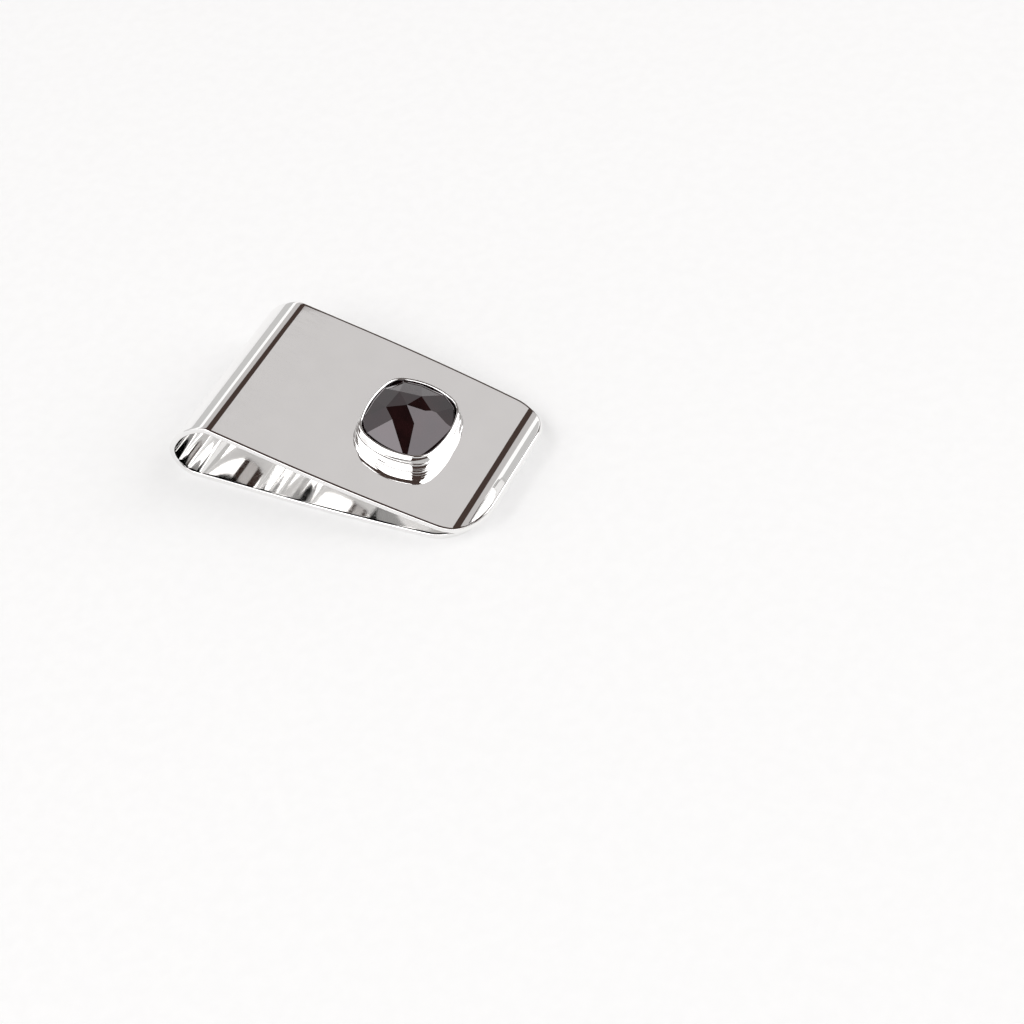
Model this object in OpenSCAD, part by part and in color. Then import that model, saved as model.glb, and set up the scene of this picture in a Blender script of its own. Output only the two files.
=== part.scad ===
// Spring money clip: one folded strip of polished silver whose front leaf carries
// a stepped bezel with a faceted cushion stone.
// +X runs from the fold to the open end, +Y across the strip, +Z up.
// The back leaf lies flat on z = 0, and the origin is the middle of the clip's base.

/* [Strip] */
// Width of the strip
strip_w = 22.4; // [18:0.2:26]
// Thickness of the strip
strip_t = 0.7; // [0.5:0.05:0.9]
// Length of the front leaf's straight run, from the shoulder to the lip
leaf_run = 29.65; // [28:0.05:31]
// Angle between the two leaves at rest, in degrees
leaf_slope = 13.2; // [12.8:0.1:15]
// Length of the back leaf, measured from the fold
back_len = 38; // [35:0.5:39]
// Distance from the fold at which the sides start to draw in
taper_from = 14; // [10:1:18]
// Radius of the long arcs that draw the sides in
side_r = 318; // [250:10:600]
// Radius of the corners at the open end
corner_r = 5.2; // [3:0.1:6]

/* [Fold] */
// Outer radius of the tight arc at the foot of the fold
toe_r = 3; // [2.5:0.1:3.5]
// Outer radius of the flatter arc above it
back_r = 9.1; // [7:0.1:11]
// Outer radius of the shoulder where the fold meets the front leaf
shoulder_r = 3; // [2:0.1:4]
// Direction of the surface where the tight arc ends, in degrees from +X
toe_end = 152; // [145:1:158]
// Direction of the surface where the shoulder starts, in degrees from +X
shoulder_start = 109; // [104:1:114]

/* [Lip] */
// Radius of the lip's upper surface
lip_r = 3.8; // [3:0.1:6]
// Angle that the lip turns up from the leaf, in degrees
lip_turn = 38; // [28:1:40]
// Length of the straight end of the lip
lip_flat = 1.4; // [1:0.1:2.4]

/* [Setting] */
// Distance of the stone's centre from the fold
stone_x = 26; // [22:0.1:27]
// Half of the bezel's opening, along the clip
stone_a = 4.78; // [4:0.02:5.2]
// Half of the bezel's opening, across the clip
stone_b = 5.14; // [4.4:0.02:5.6]
// Radius of the opening's corners
stone_corner = 2.4; // [2:0.05:2.6]
// Height of the base step
base_h = 0.5; // [0.3:0.05:0.7]
// Height of the middle step
middle_h = 0.95; // [0.7:0.05:1.2]
// Height of the collar, from the middle step to the rim
collar_h = 1.15; // [0.9:0.05:1.4]
// How far each step stands out from the one above it
step_w = 0.27; // [0.2:0.01:0.32]
// Thickness of the collar at its rim
rim_t = 0.4; // [0.3:0.02:0.5]

/* [Stone] */
// Height of the stone's point above the rim
dome_h = 2.15; // [1.6:0.05:2.6]
// Slope of the six facets round the point, in degrees
star_slope = 15; // [10:1:20]
// How far the pattern of facets is turned, in degrees
facet_turn = 17; // [0:1:59]

/* [Hidden] */

silver = [0.86, 0.86, 0.85];
garnet = [0.16, 0.05, 0.06];

arc_fn = 192;
long_arc_fn = 1440;
past = 2;                    // how far a cutting shape runs past what it cuts

// Unit vector at an angle, in the XZ plane
function dir(angle) = [cos(angle), sin(angle)];

// Centres of the fold's three arcs, each tangent to the next, as [x, z] from the fold
toe_c = [toe_r, toe_r];
back_c = toe_c + (toe_r - back_r) * dir(toe_end);
shoulder_c = back_c + (back_r - shoulder_r) * dir(shoulder_start);

// The front leaf's upper line, and the arc of the lip that follows it
leaf_up = 90 - leaf_slope;
leaf_dir = [cos(leaf_slope), -sin(leaf_slope)];
leaf_start = shoulder_c + shoulder_r * dir(leaf_up);
leaf_end = leaf_start + leaf_run * leaf_dir;
lip_c = leaf_end + lip_r * dir(leaf_up);
lip_rise = lip_turn - leaf_slope;
lip_end = lip_c - lip_r * dir(90 + lip_rise) + lip_flat * dir(lip_rise);
clip_len = lip_end[0];

// Points along an arc, from its start up to the point before its end
arc_step = 3;
function arc_points(centre, r, from, to) =
    let (count = ceil(abs(to - from) / arc_step))
    [for (i = [0 : count - 1]) centre + r * dir(from + (to - from) * i / count)];
function reversed(points) = [for (i = [len(points) - 1 : -1 : 0]) points[i]];

// Line through the fold and line through the front leaf, at a depth below the outer surface
function fold_line(depth) = concat(
    arc_points(toe_c, toe_r - depth, 270, toe_end),
    arc_points(back_c, back_r - depth, toe_end, shoulder_start),
    arc_points(shoulder_c, shoulder_r - depth, shoulder_start, leaf_up),
    [leaf_start - depth * dir(leaf_up)]);
function leaf_line(depth) = concat(
    [leaf_start - depth * dir(leaf_up)],
    arc_points(lip_c, lip_r + depth, 270 - leaf_slope, 270 + lip_rise),
    [lip_end - depth * dir(90 + lip_rise) + past * dir(lip_rise)]);

// The setting stands square on the leaf, at this height above the base
stone_z = leaf_start[1] - (stone_x - leaf_start[0]) * tan(leaf_slope);

// The cushion outline: a corner's centre, and the radii of the bulged sides
half_diag = 0.7855;          // share of each half size reached at the corner's middle
corner_x = half_diag * stone_a - stone_corner * cos(45);
corner_y = half_diag * stone_b - stone_corner * sin(45);
function side_radius(half, along, across) =
    ((half - along) ^ 2 + across ^ 2 - stone_corner ^ 2) / (2 * (half - along - stone_corner));
bulge_x = side_radius(stone_a, corner_x, corner_y);
bulge_y = side_radius(stone_b, corner_y, corner_x);

// Levels of the setting above the leaf
middle_z = base_h;
collar_z = base_h + middle_h;
rim_z = collar_z + collar_h;
rim_lip = 0.3;               // height of the rim that is turned in over the stone
girdle_grow = 0.12;          // the stone's edge is this much wider than the opening
pocket_grow = 0.17;          // the pocket inside the collar
girdle_z = rim_z - rim_lip - 0.28;
seat_w = 1;                  // width of the ledge under the stone
seat_z = collar_z + 0.1;

// The stone's facets: six round the point, and twelve that fall away to the girdle
apex_z = rim_z + dome_h;
star_facets = 6;
main_facets = 12;
star_reach = 2.3;            // from the point to the middle of a star facet's outer edge
star_corner = star_reach / cos(180 / star_facets);
star_z = apex_z - star_reach * tan(star_slope);
cushion_power = 2.87;        // power of the oval that follows the cushion outline
function outline_radius(azimuth) =
    ((abs(cos(azimuth)) / (stone_a + girdle_grow)) ^ cushion_power
        + (abs(sin(azimuth)) / (stone_b + girdle_grow)) ^ cushion_power) ^ (-1 / cushion_power);

// Places the children at the fold's end of the clip
module from_fold() {
    translate([-clip_len / 2, 0, 0]) children();
}

// Stretch of strip between its outer and inner lines, drawn in XZ
module strip_between(outer, inner) {
    rotate([90, 0, 0])
        linear_extrude(height = strip_w, center = true)
            polygon(concat(outer, reversed(inner)));
}

// Plan of a leaf: parallel sides, then long arcs that run into round corners
module leaf_plan(x_end) {
    corner_cx = x_end - corner_r;
    corner_cy = sqrt((side_r - corner_r) ^ 2 - (corner_cx - taper_from) ^ 2)
        - (side_r - strip_w / 2);
    side_end = taper_from + (corner_cx - taper_from) * side_r / (side_r - corner_r);
    translate([-past, -strip_w / 2]) square([taper_from + past, strip_w]);
    intersection() {
        translate([taper_from, -strip_w / 2]) square([side_end - taper_from, strip_w]);
        translate([taper_from, strip_w / 2 - side_r]) circle(r = side_r, $fn = long_arc_fn);
        translate([taper_from, side_r - strip_w / 2]) circle(r = side_r, $fn = long_arc_fn);
    }
    translate([taper_from, -corner_cy]) square([x_end - taper_from, 2 * corner_cy]);
    for (side = [-1, 1])
        translate([corner_cx, side * corner_cy])
            circle(r = corner_r, $fn = arc_fn);
}

module leaf_prism(x_end, height) {
    linear_extrude(height = height) leaf_plan(x_end);
}

// Cushion outline, moved outwards by grow
module cushion(grow) {
    side_y = corner_y * (bulge_x + grow) / (bulge_x - stone_corner);
    side_x = corner_x * (bulge_y + grow) / (bulge_y - stone_corner);
    intersection() {
        square([3 * stone_a, 2 * side_y], center = true);
        translate([stone_a - bulge_x, 0]) circle(r = bulge_x + grow, $fn = arc_fn);
        translate([bulge_x - stone_a, 0]) circle(r = bulge_x + grow, $fn = arc_fn);
    }
    intersection() {
        square([2 * side_x, 3 * stone_b], center = true);
        translate([0, stone_b - bulge_y]) circle(r = bulge_y + grow, $fn = arc_fn);
        translate([0, bulge_y - stone_b]) circle(r = bulge_y + grow, $fn = arc_fn);
    }
    for (sx = [-1, 1], sy = [-1, 1])
        translate([sx * corner_x, sy * corner_y])
            circle(r = stone_corner + grow, $fn = arc_fn);
}

// Cushion-shaped ring from z = low to z = high
module cushion_ring(outer, inner, low, high) {
    translate([0, 0, low])
        linear_extrude(height = high - low)
            difference() {
                cushion(outer);
                cushion(inner);
            }
}

// Places the children square on the front leaf at the stone's centre
module on_leaf() {
    from_fold()
        translate([stone_x, 0, stone_z])
            rotate([0, leaf_slope, 0])
                children();
}

// Half space under a facet: the plane leans out towards an azimuth and passes at a
// distance from the middle axis at a height
module below_facet(azimuth, slope, distance, height) {
    size = 6 * stone_b;
    rotate([0, 0, azimuth])
        translate([distance, 0, height])
            rotate([0, slope, 0])
                translate([-size / 2, -size / 2, -size])
                    cube(size);
}

// Flat rear half of the strip, on which the clip rests
module back_leaf() {
    color(silver)
        from_fold()
            intersection() {
                translate([toe_r, -strip_w, 0])
                    cube([clip_len, 2 * strip_w, strip_t]);
                translate([0, 0, -past])
                    leaf_prism(back_len, strip_t + 2 * past);
            }
}

// Fold that joins the leaves and acts as the spring
module spring_bend() {
    color(silver)
        from_fold()
            strip_between(fold_line(0), fold_line(strip_t));
}

// Sloping front half of the strip, with the lip that guides the notes in
module front_leaf() {
    color(silver)
        from_fold()
            intersection() {
                strip_between(leaf_line(0), leaf_line(strip_t));
                translate([0, 0, -past])
                    leaf_prism(clip_len, leaf_start[1] + 2 * past);
            }
}

// Lowest and widest step of the setting, soldered to the leaf
module bezel_base() {
    color(silver)
        on_leaf()
            cushion_ring(rim_t + 2 * step_w, pocket_grow - seat_w, 0, middle_z);
}

// Middle step of the setting
module bezel_middle() {
    color(silver)
        on_leaf()
            cushion_ring(rim_t + step_w, pocket_grow, middle_z, collar_z);
}

// Collar that holds the stone, with its rim turned in over the stone's edge
module bezel_collar() {
    color(silver)
        on_leaf() {
            cushion_ring(rim_t, pocket_grow, collar_z, rim_z - rim_lip);
            cushion_ring(rim_t, 0, rim_z - rim_lip, rim_z);
        }
}

// Ledge inside the setting that carries the stone
module stone_seat() {
    color(silver)
        on_leaf()
            cushion_ring(pocket_grow, pocket_grow - seat_w, middle_z, seat_z);
}

// Rose-cut stone: flat back, upright girdle and two rows of facets that meet in a point
module gemstone() {
    color(garnet)
        on_leaf()
            intersection() {
                translate([0, 0, seat_z])
                    linear_extrude(height = apex_z - seat_z)
                        cushion(girdle_grow);
                intersection_for (i = [0 : star_facets - 1])
                    below_facet(facet_turn + (i + 0.5) * 360 / star_facets, star_slope, 0, apex_z);
                intersection_for (i = [0 : main_facets - 1]) {
                    azimuth = facet_turn + i * 360 / main_facets;
                    start = i % 2 == 0 ? star_corner : star_reach;
                    fall = atan((star_z - girdle_z) / (outline_radius(azimuth) - start));
                    below_facet(azimuth, fall, start, star_z);
                }
            }
}

back_leaf();
spring_bend();
front_leaf();
bezel_base();
bezel_middle();
bezel_collar();
stone_seat();
gemstone();
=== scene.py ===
"""Looks of a spring money clip: a folded strip of polished silver with a bezel-set stone.

The strip is three pieces that meet on straight stretches: the back leaf, the fold, and the
front leaf with its lip. The setting and the stone ride on the front leaf.
Lengths are in metres in the frame of the CAD model, and angles are in degrees.
"""

import math

import bmesh
import bpy
from mathutils import Matrix, Vector


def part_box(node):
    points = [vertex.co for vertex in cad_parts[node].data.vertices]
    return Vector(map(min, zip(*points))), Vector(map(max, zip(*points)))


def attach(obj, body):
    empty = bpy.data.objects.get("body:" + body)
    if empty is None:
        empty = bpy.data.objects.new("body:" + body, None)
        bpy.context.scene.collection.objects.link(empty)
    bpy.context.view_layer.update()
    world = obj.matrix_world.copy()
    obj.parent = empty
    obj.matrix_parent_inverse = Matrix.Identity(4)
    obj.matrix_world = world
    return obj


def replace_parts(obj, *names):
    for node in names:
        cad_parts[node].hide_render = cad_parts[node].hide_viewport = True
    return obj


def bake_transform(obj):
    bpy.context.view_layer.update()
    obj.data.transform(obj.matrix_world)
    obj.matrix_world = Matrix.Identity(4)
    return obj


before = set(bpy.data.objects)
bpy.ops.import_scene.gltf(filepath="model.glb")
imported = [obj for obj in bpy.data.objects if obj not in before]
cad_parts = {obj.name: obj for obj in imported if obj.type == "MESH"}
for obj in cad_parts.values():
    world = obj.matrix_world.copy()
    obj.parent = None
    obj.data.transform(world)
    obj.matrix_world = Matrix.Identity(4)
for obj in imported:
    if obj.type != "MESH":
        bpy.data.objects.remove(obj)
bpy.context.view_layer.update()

MM = 0.001

# Sizes read from the frame
BACK_LOW, BACK_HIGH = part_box("back_leaf")
BEND_LOW, BEND_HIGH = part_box("spring_bend")
STRIP_T = BACK_HIGH.z - BACK_LOW.z
STRIP_W = BEND_HIGH.y - BEND_LOW.y
FOLD_X = BEND_LOW.x
BACK_END = BACK_HIGH.x - FOLD_X
FRONT_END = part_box("front_leaf")[1].x - FOLD_X

# The design's driving dimensions, as in the CAD source
LEAF_SLOPE = 13.2
LEAF_RUN = 29.65 * MM
TAPER_FROM = 14 * MM
SIDE_R = 318 * MM
CORNER_R = 5.2 * MM
TOE_R = 3 * MM
BACK_R = 9.1 * MM
SHOULDER_R = 3 * MM
TOE_END = 152
SHOULDER_START = 109
LIP_R = 3.8 * MM
LIP_TURN = 38
LIP_RISE = LIP_TURN - LEAF_SLOPE
STONE_X = 26 * MM
STONE_A = 4.78 * MM
STONE_B = 5.14 * MM
STONE_CORNER = 2.4 * MM
HALF_DIAG = 0.7855
BASE_H = 0.5 * MM
MIDDLE_H = 0.95 * MM
COLLAR_H = 1.15 * MM
STEP_W = 0.27 * MM
RIM_T = 0.4 * MM
DOME_H = 2.15 * MM

# How the strip's edges are eased, and where its three pieces meet
EDGE_R = 0.16 * MM
EDGE_STEPS = 4
ACROSS = (-1, -0.98, -0.5, 0, 0.5, 0.98, 1)
LOW_SEAM = 5 * MM
HIGH_SEAM = 8.2 * MM


def unit(angle):
    """Unit vector at an angle in the XZ plane."""
    return Vector((math.cos(math.radians(angle)), 0, math.sin(math.radians(angle))))


def tan_deg(angle):
    """Tangent of an angle in degrees."""
    return math.tan(math.radians(angle))


def span(low, high, count):
    """Evenly spaced values from low to high, both included."""
    return [low + (high - low) * i / (count - 1) for i in range(count)]


# Centres of the fold's arcs and the ends of the leaf's straight run, from the fold
LEAF_UP = 90 - LEAF_SLOPE
TOE_C = Vector((TOE_R, 0, TOE_R))
BACK_C = TOE_C + (TOE_R - BACK_R) * unit(TOE_END)
SHOULDER_C = BACK_C + (BACK_R - SHOULDER_R) * unit(SHOULDER_START)
LEAF_START = SHOULDER_C + SHOULDER_R * unit(LEAF_UP)
LEAF_END = LEAF_START + LEAF_RUN * unit(-LEAF_SLOPE)
LIP_C = LEAF_END + LIP_R * unit(LEAF_UP)
LIP_BEND_END = LIP_C - LIP_R * unit(90 + LIP_RISE)
STONE_Z = LEAF_START.z - (STONE_X - LEAF_START.x) * tan_deg(LEAF_SLOPE)


# ---- Materials -------------------------------------------------------------------------


def new_material(name):
    """A material with its Principled shader, as (material, nodes, links, shader)."""
    material = bpy.data.materials.new(name)
    material.use_nodes = True
    nodes = material.node_tree.nodes
    return material, nodes, material.node_tree.links, nodes["Principled BSDF"]


def object_noise(nodes, links, scale, detail, stretch=(1, 1, 1)):
    """Noise in the object's own metres. Returns the output that carries its value."""
    place = nodes.new("ShaderNodeTexCoord")
    mapping = nodes.new("ShaderNodeMapping")
    mapping.inputs["Scale"].default_value = stretch
    noise = nodes.new("ShaderNodeTexNoise")
    noise.inputs["Scale"].default_value = scale
    noise.inputs["Detail"].default_value = detail
    links.new(place.outputs["Object"], mapping.inputs["Vector"])
    links.new(mapping.outputs["Vector"], noise.inputs["Vector"])
    return noise.outputs["Fac"]


def remap(nodes, links, value, low, high, start=0.35, stop=0.65):
    """Value's middle stretch spread over low to high."""
    node = nodes.new("ShaderNodeMapRange")
    node.inputs["From Min"].default_value = start
    node.inputs["From Max"].default_value = stop
    node.inputs["To Min"].default_value = low
    node.inputs["To Max"].default_value = high
    links.new(value, node.inputs["Value"])
    return node.outputs["Result"]


def two_tone(nodes, links, value, first, second):
    """Colour ramp from first to second along a value between 0 and 1."""
    ramp = nodes.new("ShaderNodeValToRGB")
    ramp.color_ramp.elements[0].color = (*first, 1)
    ramp.color_ramp.elements[1].color = (*second, 1)
    links.new(value, ramp.inputs["Fac"])
    return ramp.outputs["Color"]


def bump(nodes, links, height, distance, below=None):
    """Relief of a given depth from a height, on top of the relief below it."""
    node = nodes.new("ShaderNodeBump")
    node.inputs["Distance"].default_value = distance
    node.inputs["Strength"].default_value = 1
    links.new(height, node.inputs["Height"])
    if below is not None:
        links.new(below, node.inputs["Normal"])
    return node.outputs["Normal"]


# Hairlines run along the strip. Their depth, like the waves' height, is in metres
ALONG_THE_STRIP = (0.25, 3, 3)
HAIRLINE_DEPTH = 0.2e-6


def silver_material(name, bright, dull, gloss, waviness):
    """Polished silver of roughness gloss: waves left by polishing, hairlines and a faint haze."""
    material, nodes, links, shader = new_material(name)
    haze = object_noise(nodes, links, scale=260, detail=3)
    hairlines = object_noise(nodes, links, scale=900, detail=5, stretch=ALONG_THE_STRIP)
    waves = object_noise(nodes, links, scale=170, detail=0.5)
    tone = remap(nodes, links, haze, 0, 1)
    links.new(two_tone(nodes, links, tone, dull, bright), shader.inputs["Base Color"])
    rough = remap(nodes, links, hairlines, gloss * 0.7, gloss * 1.5)
    links.new(rough, shader.inputs["Roughness"])
    wavy = bump(nodes, links, waves, waviness)
    links.new(bump(nodes, links, hairlines, HAIRLINE_DEPTH, wavy), shader.inputs["Normal"])
    shader.inputs["Metallic"].default_value = 1
    return material


def garnet_material():
    """Dark garnet: a near-black body with red depths, fine inclusions and a glassy polish."""
    material, nodes, links, shader = new_material("dark_garnet")
    clouds = object_noise(nodes, links, scale=420, detail=3)
    specks = nodes.new("ShaderNodeTexVoronoi")
    specks.inputs["Scale"].default_value = 1100
    place = nodes.new("ShaderNodeTexCoord")
    links.new(place.outputs["Object"], specks.inputs["Vector"])
    depth = remap(nodes, links, clouds, 0, 1)
    body = two_tone(nodes, links, depth, (0.0015, 0.0006, 0.0008), (0.011, 0.0025, 0.003))
    mask = remap(nodes, links, specks.outputs["Distance"], 1, 0, start=0.05, stop=0.12)
    mix = nodes.new("ShaderNodeMix")
    mix.data_type = "RGBA"
    mix.inputs["B"].default_value = (0.02, 0.012, 0.014, 1)
    links.new(mask, mix.inputs["Factor"])
    links.new(body, mix.inputs["A"])
    links.new(mix.outputs["Result"], shader.inputs["Base Color"])
    polish = object_noise(nodes, links, scale=700, detail=4)
    links.new(remap(nodes, links, polish, 0.02, 0.06), shader.inputs["Roughness"])
    shader.inputs["IOR"].default_value = 1.78
    shader.inputs["Specular Tint"].default_value = (1.0, 0.93, 0.98, 1)
    return material


def paper_material(name, colour, glow, grain):
    """Matt paper with a faint grain, lifted by a little light of its own."""
    material, nodes, links, shader = new_material(name)
    tone = remap(nodes, links, object_noise(nodes, links, scale=grain, detail=2), 0, 1)
    darker = [0.97 * c for c in colour]
    links.new(two_tone(nodes, links, tone, darker, colour), shader.inputs["Base Color"])
    shader.inputs["Roughness"].default_value = 0.9
    shader.inputs["Specular IOR Level"].default_value = 0
    shader.inputs["Emission Color"].default_value = (1, 1, 1, 1)
    shader.inputs["Emission Strength"].default_value = glow
    return material


# ---- Mesh helpers ----------------------------------------------------------------------


def finish_mesh(bm, name, material, sharp=()):
    """Turns a bmesh into a smooth-shaded object whose listed edges stay sharp."""
    bmesh.ops.recalc_face_normals(bm, faces=bm.faces)
    for face in bm.faces:
        face.smooth = True
    for edge in sharp:
        edge.smooth = False
    mesh = bpy.data.meshes.new(name)
    bm.to_mesh(mesh)
    bm.free()
    piece = bpy.data.objects.new(name, mesh)
    bpy.context.scene.collection.objects.link(piece)
    mesh.materials.append(material)
    weighted = piece.modifiers.new("face_weighted_normals", "WEIGHTED_NORMAL")
    weighted.keep_sharp = True
    return piece


def bridge(bm, first, second, closed):
    """Quads between two rows of vertices."""
    count = len(first)
    for i in range(count if closed else count - 1):
        j = (i + 1) % count
        bm.faces.new((first[i], first[j], second[j], second[i]))


# ---- The strip -------------------------------------------------------------------------


def edge_levels():
    """(inset, depth) round the strip's eased edge, from the outer face to the inner face."""
    angles = span(0, 90, EDGE_STEPS + 1)
    turn = [(1 - math.sin(math.radians(a)), 1 - math.cos(math.radians(a))) for a in angles]
    outer = [(EDGE_R * inset, EDGE_R * depth) for inset, depth in turn]
    inner = [(inset, STRIP_T - depth) for inset, depth in reversed(outer)]
    return outer + inner


def strip_section():
    """(side, inset, depth) of each point round a cross-section of the strip."""
    levels = edge_levels()
    outer, rim, inner = levels[0], levels[1:-1], levels[-1]
    return (
        [(side, *outer) for side in ACROSS]
        + [(1, *level) for level in rim]
        + [(side, *inner) for side in reversed(ACROSS)]
        + [(-1, *level) for level in reversed(rim)]
    )


def section_point(row, side, inset, depth):
    """Place of a section's point. row(inset) gives the outer point, normal and half width."""
    point, normal, half = row(inset)
    return point - depth * normal + Vector((FOLD_X, side * half, 0))


def close_free_end(bm, loop, row):
    """Eased end of the strip: one line of vertices for each level, over the last section."""
    across = len(ACROSS)
    levels = edge_levels()
    rim = len(levels) - 2
    right = loop[across:across + rim]
    left = loop[2 * across + rim:][::-1]
    lines = [loop[:across]]
    for level, l_vert, r_vert in zip(levels[1:-1], left, right):
        middle = [bm.verts.new(section_point(row, side, *level)) for side in ACROSS[1:-1]]
        lines.append([l_vert, *middle, r_vert])
    lines.append(loop[across + rim:2 * across + rim][::-1])
    for first, second in zip(lines, lines[1:]):
        bridge(bm, first, second, closed=False)


def strip_piece(name, rows, material, free_end):
    """Closed stretch of strip through its rows, with flat ends where it meets the next."""
    bm = bmesh.new()
    section = strip_section()
    loops = [[bm.verts.new(section_point(row, *spot)) for spot in section] for row in rows]
    for first, second in zip(loops, loops[1:]):
        bridge(bm, first, second, closed=True)
    caps = [bm.faces.new(loops[0][::-1])]
    if free_end:
        close_free_end(bm, loops[-1], rows[-1])
    else:
        caps.append(bm.faces.new(loops[-1]))
    sharp = [edge for cap in caps for edge in cap.edges]
    return finish_mesh(bm, name, material, sharp)


def fold_rows():
    """Rows of the fold, from the seam on the back leaf to the seam on the front leaf."""
    lines = [(Vector((x, 0, 0)), 270) for x in span(LOW_SEAM, TOE_R, 4)]
    arcs = (
        (TOE_C, TOE_R, 270, TOE_END, 60),
        (BACK_C, BACK_R, TOE_END, SHOULDER_START, 36),
        (SHOULDER_C, SHOULDER_R, SHOULDER_START, LEAF_UP, 24),
    )
    for centre, radius, start, end, steps in arcs:
        for angle in span(start, end, steps + 1)[1:]:
            lines.append((centre + radius * unit(angle), angle))
    run = (HIGH_SEAM - LEAF_START.x) / math.cos(math.radians(LEAF_SLOPE))
    for along in span(0, run, 4)[1:]:
        lines.append((LEAF_START + along * unit(-LEAF_SLOPE), LEAF_UP))
    return [
        lambda inset, point=point, angle=angle: (point, unit(angle), STRIP_W / 2 - inset)
        for point, angle in lines
    ]


def front_line(x):
    """(height, direction of the normal) of the front leaf's upper surface at x."""
    if x <= LEAF_END.x:
        return LEAF_START.z - (x - LEAF_START.x) * tan_deg(LEAF_SLOPE), LEAF_UP
    if x <= LIP_BEND_END.x:
        bend = math.asin((x - LIP_C.x) / LIP_R)
        return LIP_C.z - LIP_R * math.cos(bend), 90 + math.degrees(bend)
    return LIP_BEND_END.z + (x - LIP_BEND_END.x) * tan_deg(LIP_RISE), 90 + LIP_RISE


def back_line(_x):
    """(height, direction of the normal) of the back leaf's lower surface."""
    return 0, 270


def plan_spots(start, end):
    """Functions of the inset that give (x, half width) along a leaf's outline in plan."""
    corner_x = end - CORNER_R
    run = corner_x - TAPER_FROM
    corner_y = math.sqrt((SIDE_R - CORNER_R) ** 2 - run ** 2) - (SIDE_R - STRIP_W / 2)
    sweep = math.degrees(math.asin(run / (SIDE_R - CORNER_R)))
    spots = [lambda inset, x=x: (x, STRIP_W / 2 - inset) for x in span(start, TAPER_FROM, 8)]
    arcs = (
        (TAPER_FROM, STRIP_W / 2 - SIDE_R, SIDE_R, 0, sweep, 24),
        (corner_x, corner_y, CORNER_R, sweep, 90, 44),
    )
    for centre_x, centre_y, radius, low, high, steps in arcs:
        for angle in span(low, high, steps + 1)[1:]:
            reach = unit(angle)
            spots.append(
                lambda inset, cx=centre_x, cy=centre_y, r=radius, d=reach:
                (cx + (r - inset) * d.z, cy + (r - inset) * d.x)
            )
    return spots


def leaf_rows(line, start, end):
    """Rows of a leaf from a seam to its open end, over its outer line."""
    def row_at(spot):
        def row(inset):
            x, half = spot(inset)
            height, angle = line(x)
            return Vector((x, 0, height)), unit(angle), half
        return row
    return [row_at(spot) for spot in plan_spots(start, end)]


def build_strip(silver):
    back = strip_piece(
        "back_leaf_strip", leaf_rows(back_line, LOW_SEAM, BACK_END), silver, free_end=True)
    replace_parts(back, "back_leaf")
    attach(back, "back_half")

    fold = strip_piece("spring_fold", fold_rows(), silver, free_end=False)
    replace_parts(fold, "spring_bend")
    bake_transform(fold)

    end = FRONT_END - STRIP_T * math.sin(math.radians(LIP_RISE))
    front = strip_piece(
        "front_leaf_strip", leaf_rows(front_line, HIGH_SEAM, end), silver, free_end=True)
    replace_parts(front, "front_leaf")
    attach(front, "front_half")


# ---- The setting -----------------------------------------------------------------------

ON_LEAF = (
    Matrix.Translation((FOLD_X + STONE_X, 0, STONE_Z))
    @ Matrix.Rotation(math.radians(LEAF_SLOPE), 4, "Y")
)
OUTLINE_STEPS = 144

# Levels above the leaf, and how far things reach past the setting's opening
COLLAR_Z = BASE_H + MIDDLE_H
RIM_Z = COLLAR_Z + COLLAR_H
GIRDLE_GROW = 0.12 * MM
POCKET_GROW = 0.17 * MM
GIRDLE_Z = RIM_Z - 0.3 * MM
SEAT_Z = COLLAR_Z + 0.1 * MM
HIDDEN_INNER = -0.6 * MM
APEX_Z = RIM_Z + DOME_H

# Rounding of the setting's edges, and the depth of the rim's turned-in lip
FOOT_R = 0.05 * MM
BASE_EASE = 0.12 * MM
MIDDLE_EASE = 0.17 * MM
RIM_LIP = 0.2 * MM


def side_radius(half, along, across):
    """Radius of the bulged side that runs into the corners without a kink."""
    return ((half - along) ** 2 + across ** 2 - STONE_CORNER ** 2) / (
        2 * (half - along - STONE_CORNER))


CUSHION_X = HALF_DIAG * STONE_A - STONE_CORNER * math.sqrt(0.5)
CUSHION_Y = HALF_DIAG * STONE_B - STONE_CORNER * math.sqrt(0.5)
BULGE_X = side_radius(STONE_A, CUSHION_X, CUSHION_Y)
BULGE_Y = side_radius(STONE_B, CUSHION_Y, CUSHION_X)
SWEEP_X = math.degrees(math.asin(CUSHION_Y / (BULGE_X - STONE_CORNER)))
SWEEP_Y = math.degrees(math.asin(CUSHION_X / (BULGE_Y - STONE_CORNER)))


def cushion_point(turn, grow, height):
    """Point of the cushion outline, moved out by grow, where its normal is at angle turn."""
    c, s = math.cos(math.radians(turn)), math.sin(math.radians(turn))
    folded = math.degrees(math.atan2(abs(s), abs(c)))
    if folded < SWEEP_X:
        x, y, radius = STONE_A - BULGE_X, 0, BULGE_X
    elif folded > 90 - SWEEP_Y:
        x, y, radius = 0, STONE_B - BULGE_Y, BULGE_Y
    else:
        x, y, radius = CUSHION_X, CUSHION_Y, STONE_CORNER
    reach = radius + grow
    return Vector((
        math.copysign(x + reach * abs(c), c) if x + reach * abs(c) > 0 else 0,
        math.copysign(y + reach * abs(s), s) if y + reach * abs(s) > 0 else 0,
        height,
    ))


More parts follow.
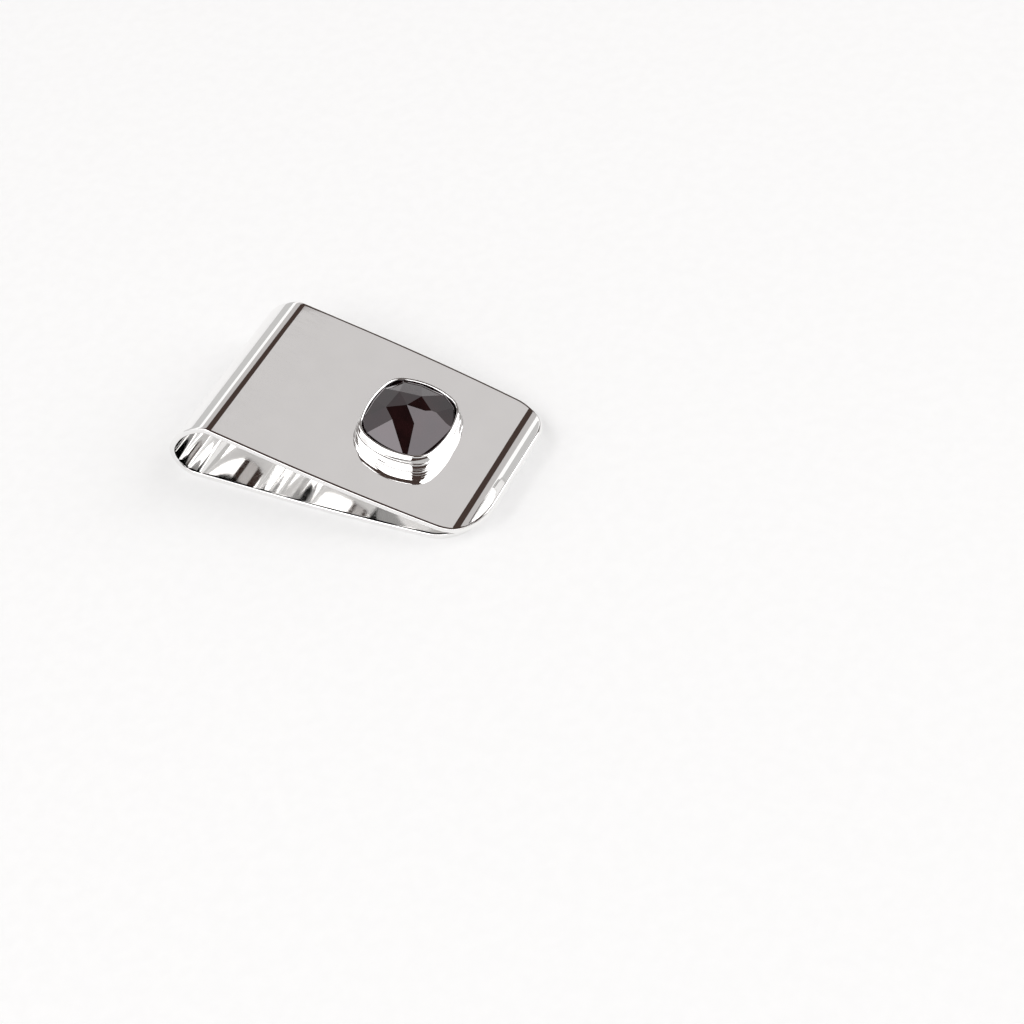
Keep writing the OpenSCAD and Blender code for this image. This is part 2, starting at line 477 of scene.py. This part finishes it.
def cushion_ring(name, profile, material):
    """Ring with a closed (grow, height) profile, swept round the cushion outline."""
    bm = bmesh.new()
    loops = []
    for i in range(OUTLINE_STEPS):
        turn = 360 * i / OUTLINE_STEPS
        loops.append([bm.verts.new(ON_LEAF @ cushion_point(turn, *spot)) for spot in profile])
    for first, second in zip(loops, loops[1:] + loops[:1]):
        bridge(bm, first, second, closed=True)
    piece = finish_mesh(bm, name, material)
    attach(piece, "front_half")
    return piece


def arc(grow, height, radius, start, end, steps=8):
    """Points of a round arc in a ring's profile."""
    angles = [math.radians(a) for a in span(start, end, steps + 1)]
    return [(grow + radius * math.cos(a), height + radius * math.sin(a)) for a in angles]


def stepped_profile(outer, low, high, ease):
    """Profile of a step, with its upper outer edge rounded by ease, and a plain inner wall."""
    return (
        [(HIDDEN_INNER, low)]
        + arc(outer - FOOT_R, low + FOOT_R, FOOT_R, -90, 0)
        + arc(outer - ease, high - ease, ease, 0, 90)
        + [(HIDDEN_INNER, high)]
    )


def collar_profile():
    """Upright collar with a small foot, burnished over the stone's edge at the top."""
    foot_z = COLLAR_Z + FOOT_R
    crown_r = RIM_T / 2
    lip_z = RIM_Z - RIM_LIP
    return (
        [(POCKET_GROW, COLLAR_Z)]
        + arc(RIM_T, foot_z, FOOT_R, -90, 70)
        + [(RIM_T, foot_z + 1.6 * FOOT_R)]
        + arc(RIM_T - crown_r, RIM_Z - crown_r, crown_r, 0, 150, steps=14)
        + [(0, lip_z), (0.03 * MM, lip_z - 0.04 * MM), (POCKET_GROW, lip_z - 0.1 * MM)]
    )


def build_setting(silver, seat_silver):
    base = stepped_profile(RIM_T + 2 * STEP_W, 0, BASE_H, BASE_EASE)
    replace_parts(cushion_ring("bezel_base_ring", base, silver), "bezel_base")
    middle = stepped_profile(RIM_T + STEP_W, BASE_H, COLLAR_Z, MIDDLE_EASE)
    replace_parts(cushion_ring("bezel_middle_bead", middle, silver), "bezel_middle")
    collar = cushion_ring("bezel_collar_rim", collar_profile(), silver)
    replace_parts(collar, "bezel_collar")
    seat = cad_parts["stone_seat"]
    seat.data.materials.clear()
    seat.data.materials.append(seat_silver)


# ---- The stone -------------------------------------------------------------------------

# The hand-cut pattern. Each row is a corner of the star round the point: its azimuth and
# distance from the middle, then the azimuths between which its own facet meets the girdle
POINT = Vector((-0.33 * MM, -0.17 * MM, APEX_Z - 0.1 * MM))
STAR_Z = POINT.z - 0.62 * MM
STAR = (
    (14, 2.70 * MM, 25, 51),
    (82, 2.26 * MM, 75, 100),
    (143, 2.74 * MM, 125, 150),
    (205, 2.70 * MM, 175, 200),
    (247, 2.59 * MM, 224, 291),
    (310, 2.20 * MM, 317, 340),
)

# Width of the worn line between facets, and the smallest angle between them that has one
FACET_EDGE = 0.03 * MM
FACET_EDGE_FROM = 4

# A cut takes points this near it as lying on it, in the crown's own millimetres
CUT_SLACK = 0.0005

# The outline's normal stays within this angle of the azimuth, and is found by halving
NORMAL_SLACK = 40
HALVINGS = 30


def around(azimuth, distance, height):
    """Point at an azimuth and a distance from the stone's middle axis."""
    turn = math.radians(azimuth)
    return Vector((distance * math.cos(turn), distance * math.sin(turn), height))


def girdle_point(azimuth):
    """Point of the girdle at an azimuth."""
    low, high = azimuth - NORMAL_SLACK, azimuth + NORMAL_SLACK
    for _ in range(HALVINGS):
        middle = (low + high) / 2
        spot = cushion_point(middle, GIRDLE_GROW, GIRDLE_Z)
        reached = math.degrees(math.atan2(spot.y, spot.x))
        ahead = (reached - azimuth + 180) % 360 - 180
        low, high = (low, middle) if ahead > 0 else (middle, high)
    return spot


def grind(bm, first, second, third):
    """Cuts the facet through three points of a crown held in millimetres, and closes it."""
    normal = (second - first).cross(third - first).normalized()
    if normal.z < 0:
        normal.negate()
    cut = bmesh.ops.bisect_plane(
        bm, geom=bm.verts[:] + bm.edges[:] + bm.faces[:], dist=CUT_SLACK,
        plane_co=first / MM, plane_no=normal, clear_outer=True)
    edges = [e for e in cut["geom_cut"] if isinstance(e, bmesh.types.BMEdge) and e.is_boundary]
    if edges:
        bmesh.ops.edgeloop_fill(bm, edges=edges)
        bmesh.ops.remove_doubles(bm, verts=bm.verts, dist=CUT_SLACK)


def grind_crown(bm):
    """Six facets round the point, then the twelve that run down to the girdle."""
    corners = [around(azimuth, distance, STAR_Z) for azimuth, distance, _, _ in STAR]
    for i, (_, _, start, end) in enumerate(STAR):
        following = (i + 1) % len(STAR)
        gap = (STAR[following][2] - end) % 360
        grind(bm, POINT, corners[i], corners[following])
        grind(bm, corners[i], girdle_point(start), girdle_point(end))
        grind(bm, corners[i], corners[following], girdle_point(end + gap / 2))


def build_stone(garnet):
    """The stone is cut in millimetres from a cushion-shaped blank, then set on the leaf."""
    bm = bmesh.new()
    outline = [cushion_point(360 * i / OUTLINE_STEPS, GIRDLE_GROW, SEAT_Z)
               for i in range(OUTLINE_STEPS)]
    rise = Vector((0, 0, APEX_Z - SEAT_Z + GIRDLE_GROW))
    low = [bm.verts.new(p / MM) for p in outline]
    high = [bm.verts.new((p + rise) / MM) for p in outline]
    bridge(bm, low, high, closed=True)
    bm.faces.new(low[::-1])
    bm.faces.new(high)
    grind_crown(bm)
    bm.transform(ON_LEAF @ Matrix.Scale(MM, 4))
    stone = finish_mesh(bm, "faceted_stone", garnet)
    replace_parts(stone, "gemstone")
    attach(stone, "front_half")
    ease = stone.modifiers.new("facet_edges", "BEVEL")
    ease.width = FACET_EDGE
    ease.segments = 2
    ease.limit_method = "ANGLE"
    ease.angle_limit = math.radians(FACET_EDGE_FROM)
    stone.modifiers.move(1, 0)


# ---- Studio ----------------------------------------------------------------------------

FLOOR_GAP = 0.02 * MM
FLOOR_REACH = 4
PAPER_GLOW = 0.42
LIGHT_DISTANCE = 1.0
CARD_DISTANCE = 0.97
CEILING = (0.062, 0.042, 0.036)

# Radius, height and glow of the wall that the silver mirrors, and of the one the camera sees
TENT = (1.6, 0.8, 0.6)
BACKDROP = (1.7, 3, 0.9)

# Each light's name, direction from the clip, width, height and radiance
SOFTBOXES = (
    ("plate_light", (-0.05, 0.565, 0.82), 0.25, 0.2, 0.59),
    ("left_light", (-0.72, 0.60, 0.50), 0.6, 0.55, 0.5),
    ("right_light", (0.70, 0.37, 0.62), 1.1, 0.9, 2.4),
    ("front_light", (-0.05, -0.68, 0.71), 0.94, 0.5, 2.4),
    ("front_left_light", (-0.42, -0.22, 0.88), 0.62, 0.3, 2.4),
    ("low_left_light", (-0.70, -0.44, 0.56), 1.3, 0.8, 1.0),
)

# Directions of the corners of the card that cuts off a corner of the plate's light
CARD = (
    (-0.20, 0.56, 0.80),
    (-0.15, 0.60, 0.80),
    (-0.15, 0.70, 0.70),
    (-0.30, 0.70, 0.70),
    (-0.30, 0.56, 0.80),
)


def softbox(name, towards, width, height, radiance):
    """Soft light in a direction from the clip, whose face has the given radiance."""
    light = bpy.data.lights.new(name, "AREA")
    light.shape = "RECTANGLE"
    light.size = width
    light.size_y = height
    light.energy = radiance * math.pi * width * height
    lamp = bpy.data.objects.new(name, light)
    bpy.context.scene.collection.objects.link(lamp)
    back = Vector(towards).normalized()
    lamp.location = LIGHT_DISTANCE * back
    lamp.rotation_mode = "QUATERNION"
    lamp.rotation_quaternion = back.to_track_quat("Z", "Y")
    lamp.visible_camera = False


def stage_mesh(name, points, faces, material):
    mesh = bpy.data.meshes.new(name)
    mesh.from_pydata(points, [], faces)
    mesh.materials.append(material)
    thing = bpy.data.objects.new(name, mesh)
    bpy.context.scene.collection.objects.link(thing)
    return thing


def glow_material(name, colour, strength):
    """Surface that gives off a plain light and mirrors nothing."""
    material, _nodes, _links, shader = new_material(name)
    shader.inputs["Base Color"].default_value = (0, 0, 0, 1)
    shader.inputs["Specular IOR Level"].default_value = 0
    shader.inputs["Emission Color"].default_value = (*colour, 1)
    shader.inputs["Emission Strength"].default_value = strength
    return material


def ring_wall(name, radius, height, glow, colour, steps=48):
    """Upright glowing wall all round the clip."""
    turns = [2 * math.pi * i / steps for i in range(steps)]
    points = [(radius * math.cos(t), radius * math.sin(t), z) for z in (0, height) for t in turns]
    faces = [(i, (i + 1) % steps, steps + (i + 1) % steps, steps + i) for i in range(steps)]
    return stage_mesh(name, points, faces, glow_material(name, colour, glow))


def build_floor():
    signs = ((-1, -1), (1, -1), (1, 1), (-1, 1))
    corners = [(x * FLOOR_REACH, y * FLOOR_REACH, -FLOOR_GAP) for x, y in signs]
    paper = paper_material("floor_paper", (0.55, 0.55, 0.55), PAPER_GLOW, 600)
    stage_mesh("floor", corners, [range(4)], paper)


def build_surround():
    """Dim ceiling, a pale tent wall for reflections, and a pale backdrop for low cameras."""
    world = bpy.data.worlds.new("studio")
    bpy.context.scene.world = world
    world.use_nodes = True
    ceiling = world.node_tree.nodes["Background"]
    ceiling.inputs["Color"].default_value = (*CEILING, 1)
    tent = ring_wall("tent_wall", *TENT, colour=(1, 0.99, 0.98))
    tent.visible_camera = False
    backdrop = ring_wall("backdrop", *BACKDROP, colour=(1, 1, 1))
    backdrop.visible_glossy = False
    backdrop.visible_diffuse = False
    backdrop.visible_shadow = False


def build_lights():
    for softbox_facts in SOFTBOXES:
        softbox(*softbox_facts)


def build_card():
    """Card as dark as the ceiling, only seen in reflections, just in front of the lights."""
    corners = [CARD_DISTANCE * Vector(direction).normalized() for direction in CARD]
    dark = glow_material("black_card", CEILING, 1)
    card = stage_mesh("plate_light_corner", corners, [range(len(corners))], dark)
    card.visible_camera = False
    card.visible_diffuse = False
    card.visible_shadow = False


# The camera's lens in millimetres, its place, and the directions of its right and its top
LENS = 80.86
CAMERA_PLACE = Vector((0.11926, -0.15013, 0.18723))
CAMERA_RIGHT = Vector((0.89067, 0.43616, -0.12836))
CAMERA_UP = Vector((-0.24451, 0.69754, 0.67354))


def build_camera():
    """Camera over the front corner of the open end, turned as a hand-held camera would be."""
    data = bpy.data.cameras.new("camera")
    data.sensor_width = 36
    data.lens = LENS
    data.clip_start = 0.01
    camera = bpy.data.objects.new("camera", data)
    bpy.context.scene.collection.objects.link(camera)
    turned = Matrix((CAMERA_RIGHT, CAMERA_UP, CAMERA_RIGHT.cross(CAMERA_UP))).transposed()
    camera.matrix_world = Matrix.Translation(CAMERA_PLACE) @ turned.to_4x4()
    bpy.context.scene.camera = camera
    bpy.context.scene.view_settings.view_transform = "Standard"


def build_all():
    silver = silver_material(
        "mirror_silver", (0.93, 0.925, 0.92), (0.91, 0.905, 0.9), gloss=0.04, waviness=3e-6)
    seat_silver = silver_material(
        "satin_silver", (0.8, 0.79, 0.77), (0.7, 0.69, 0.67), gloss=0.3, waviness=2e-6)
    build_strip(silver)
    build_setting(silver, seat_silver)
    build_stone(garnet_material())
    build_floor()
    build_surround()
    build_lights()
    build_card()
    build_camera()


build_all()
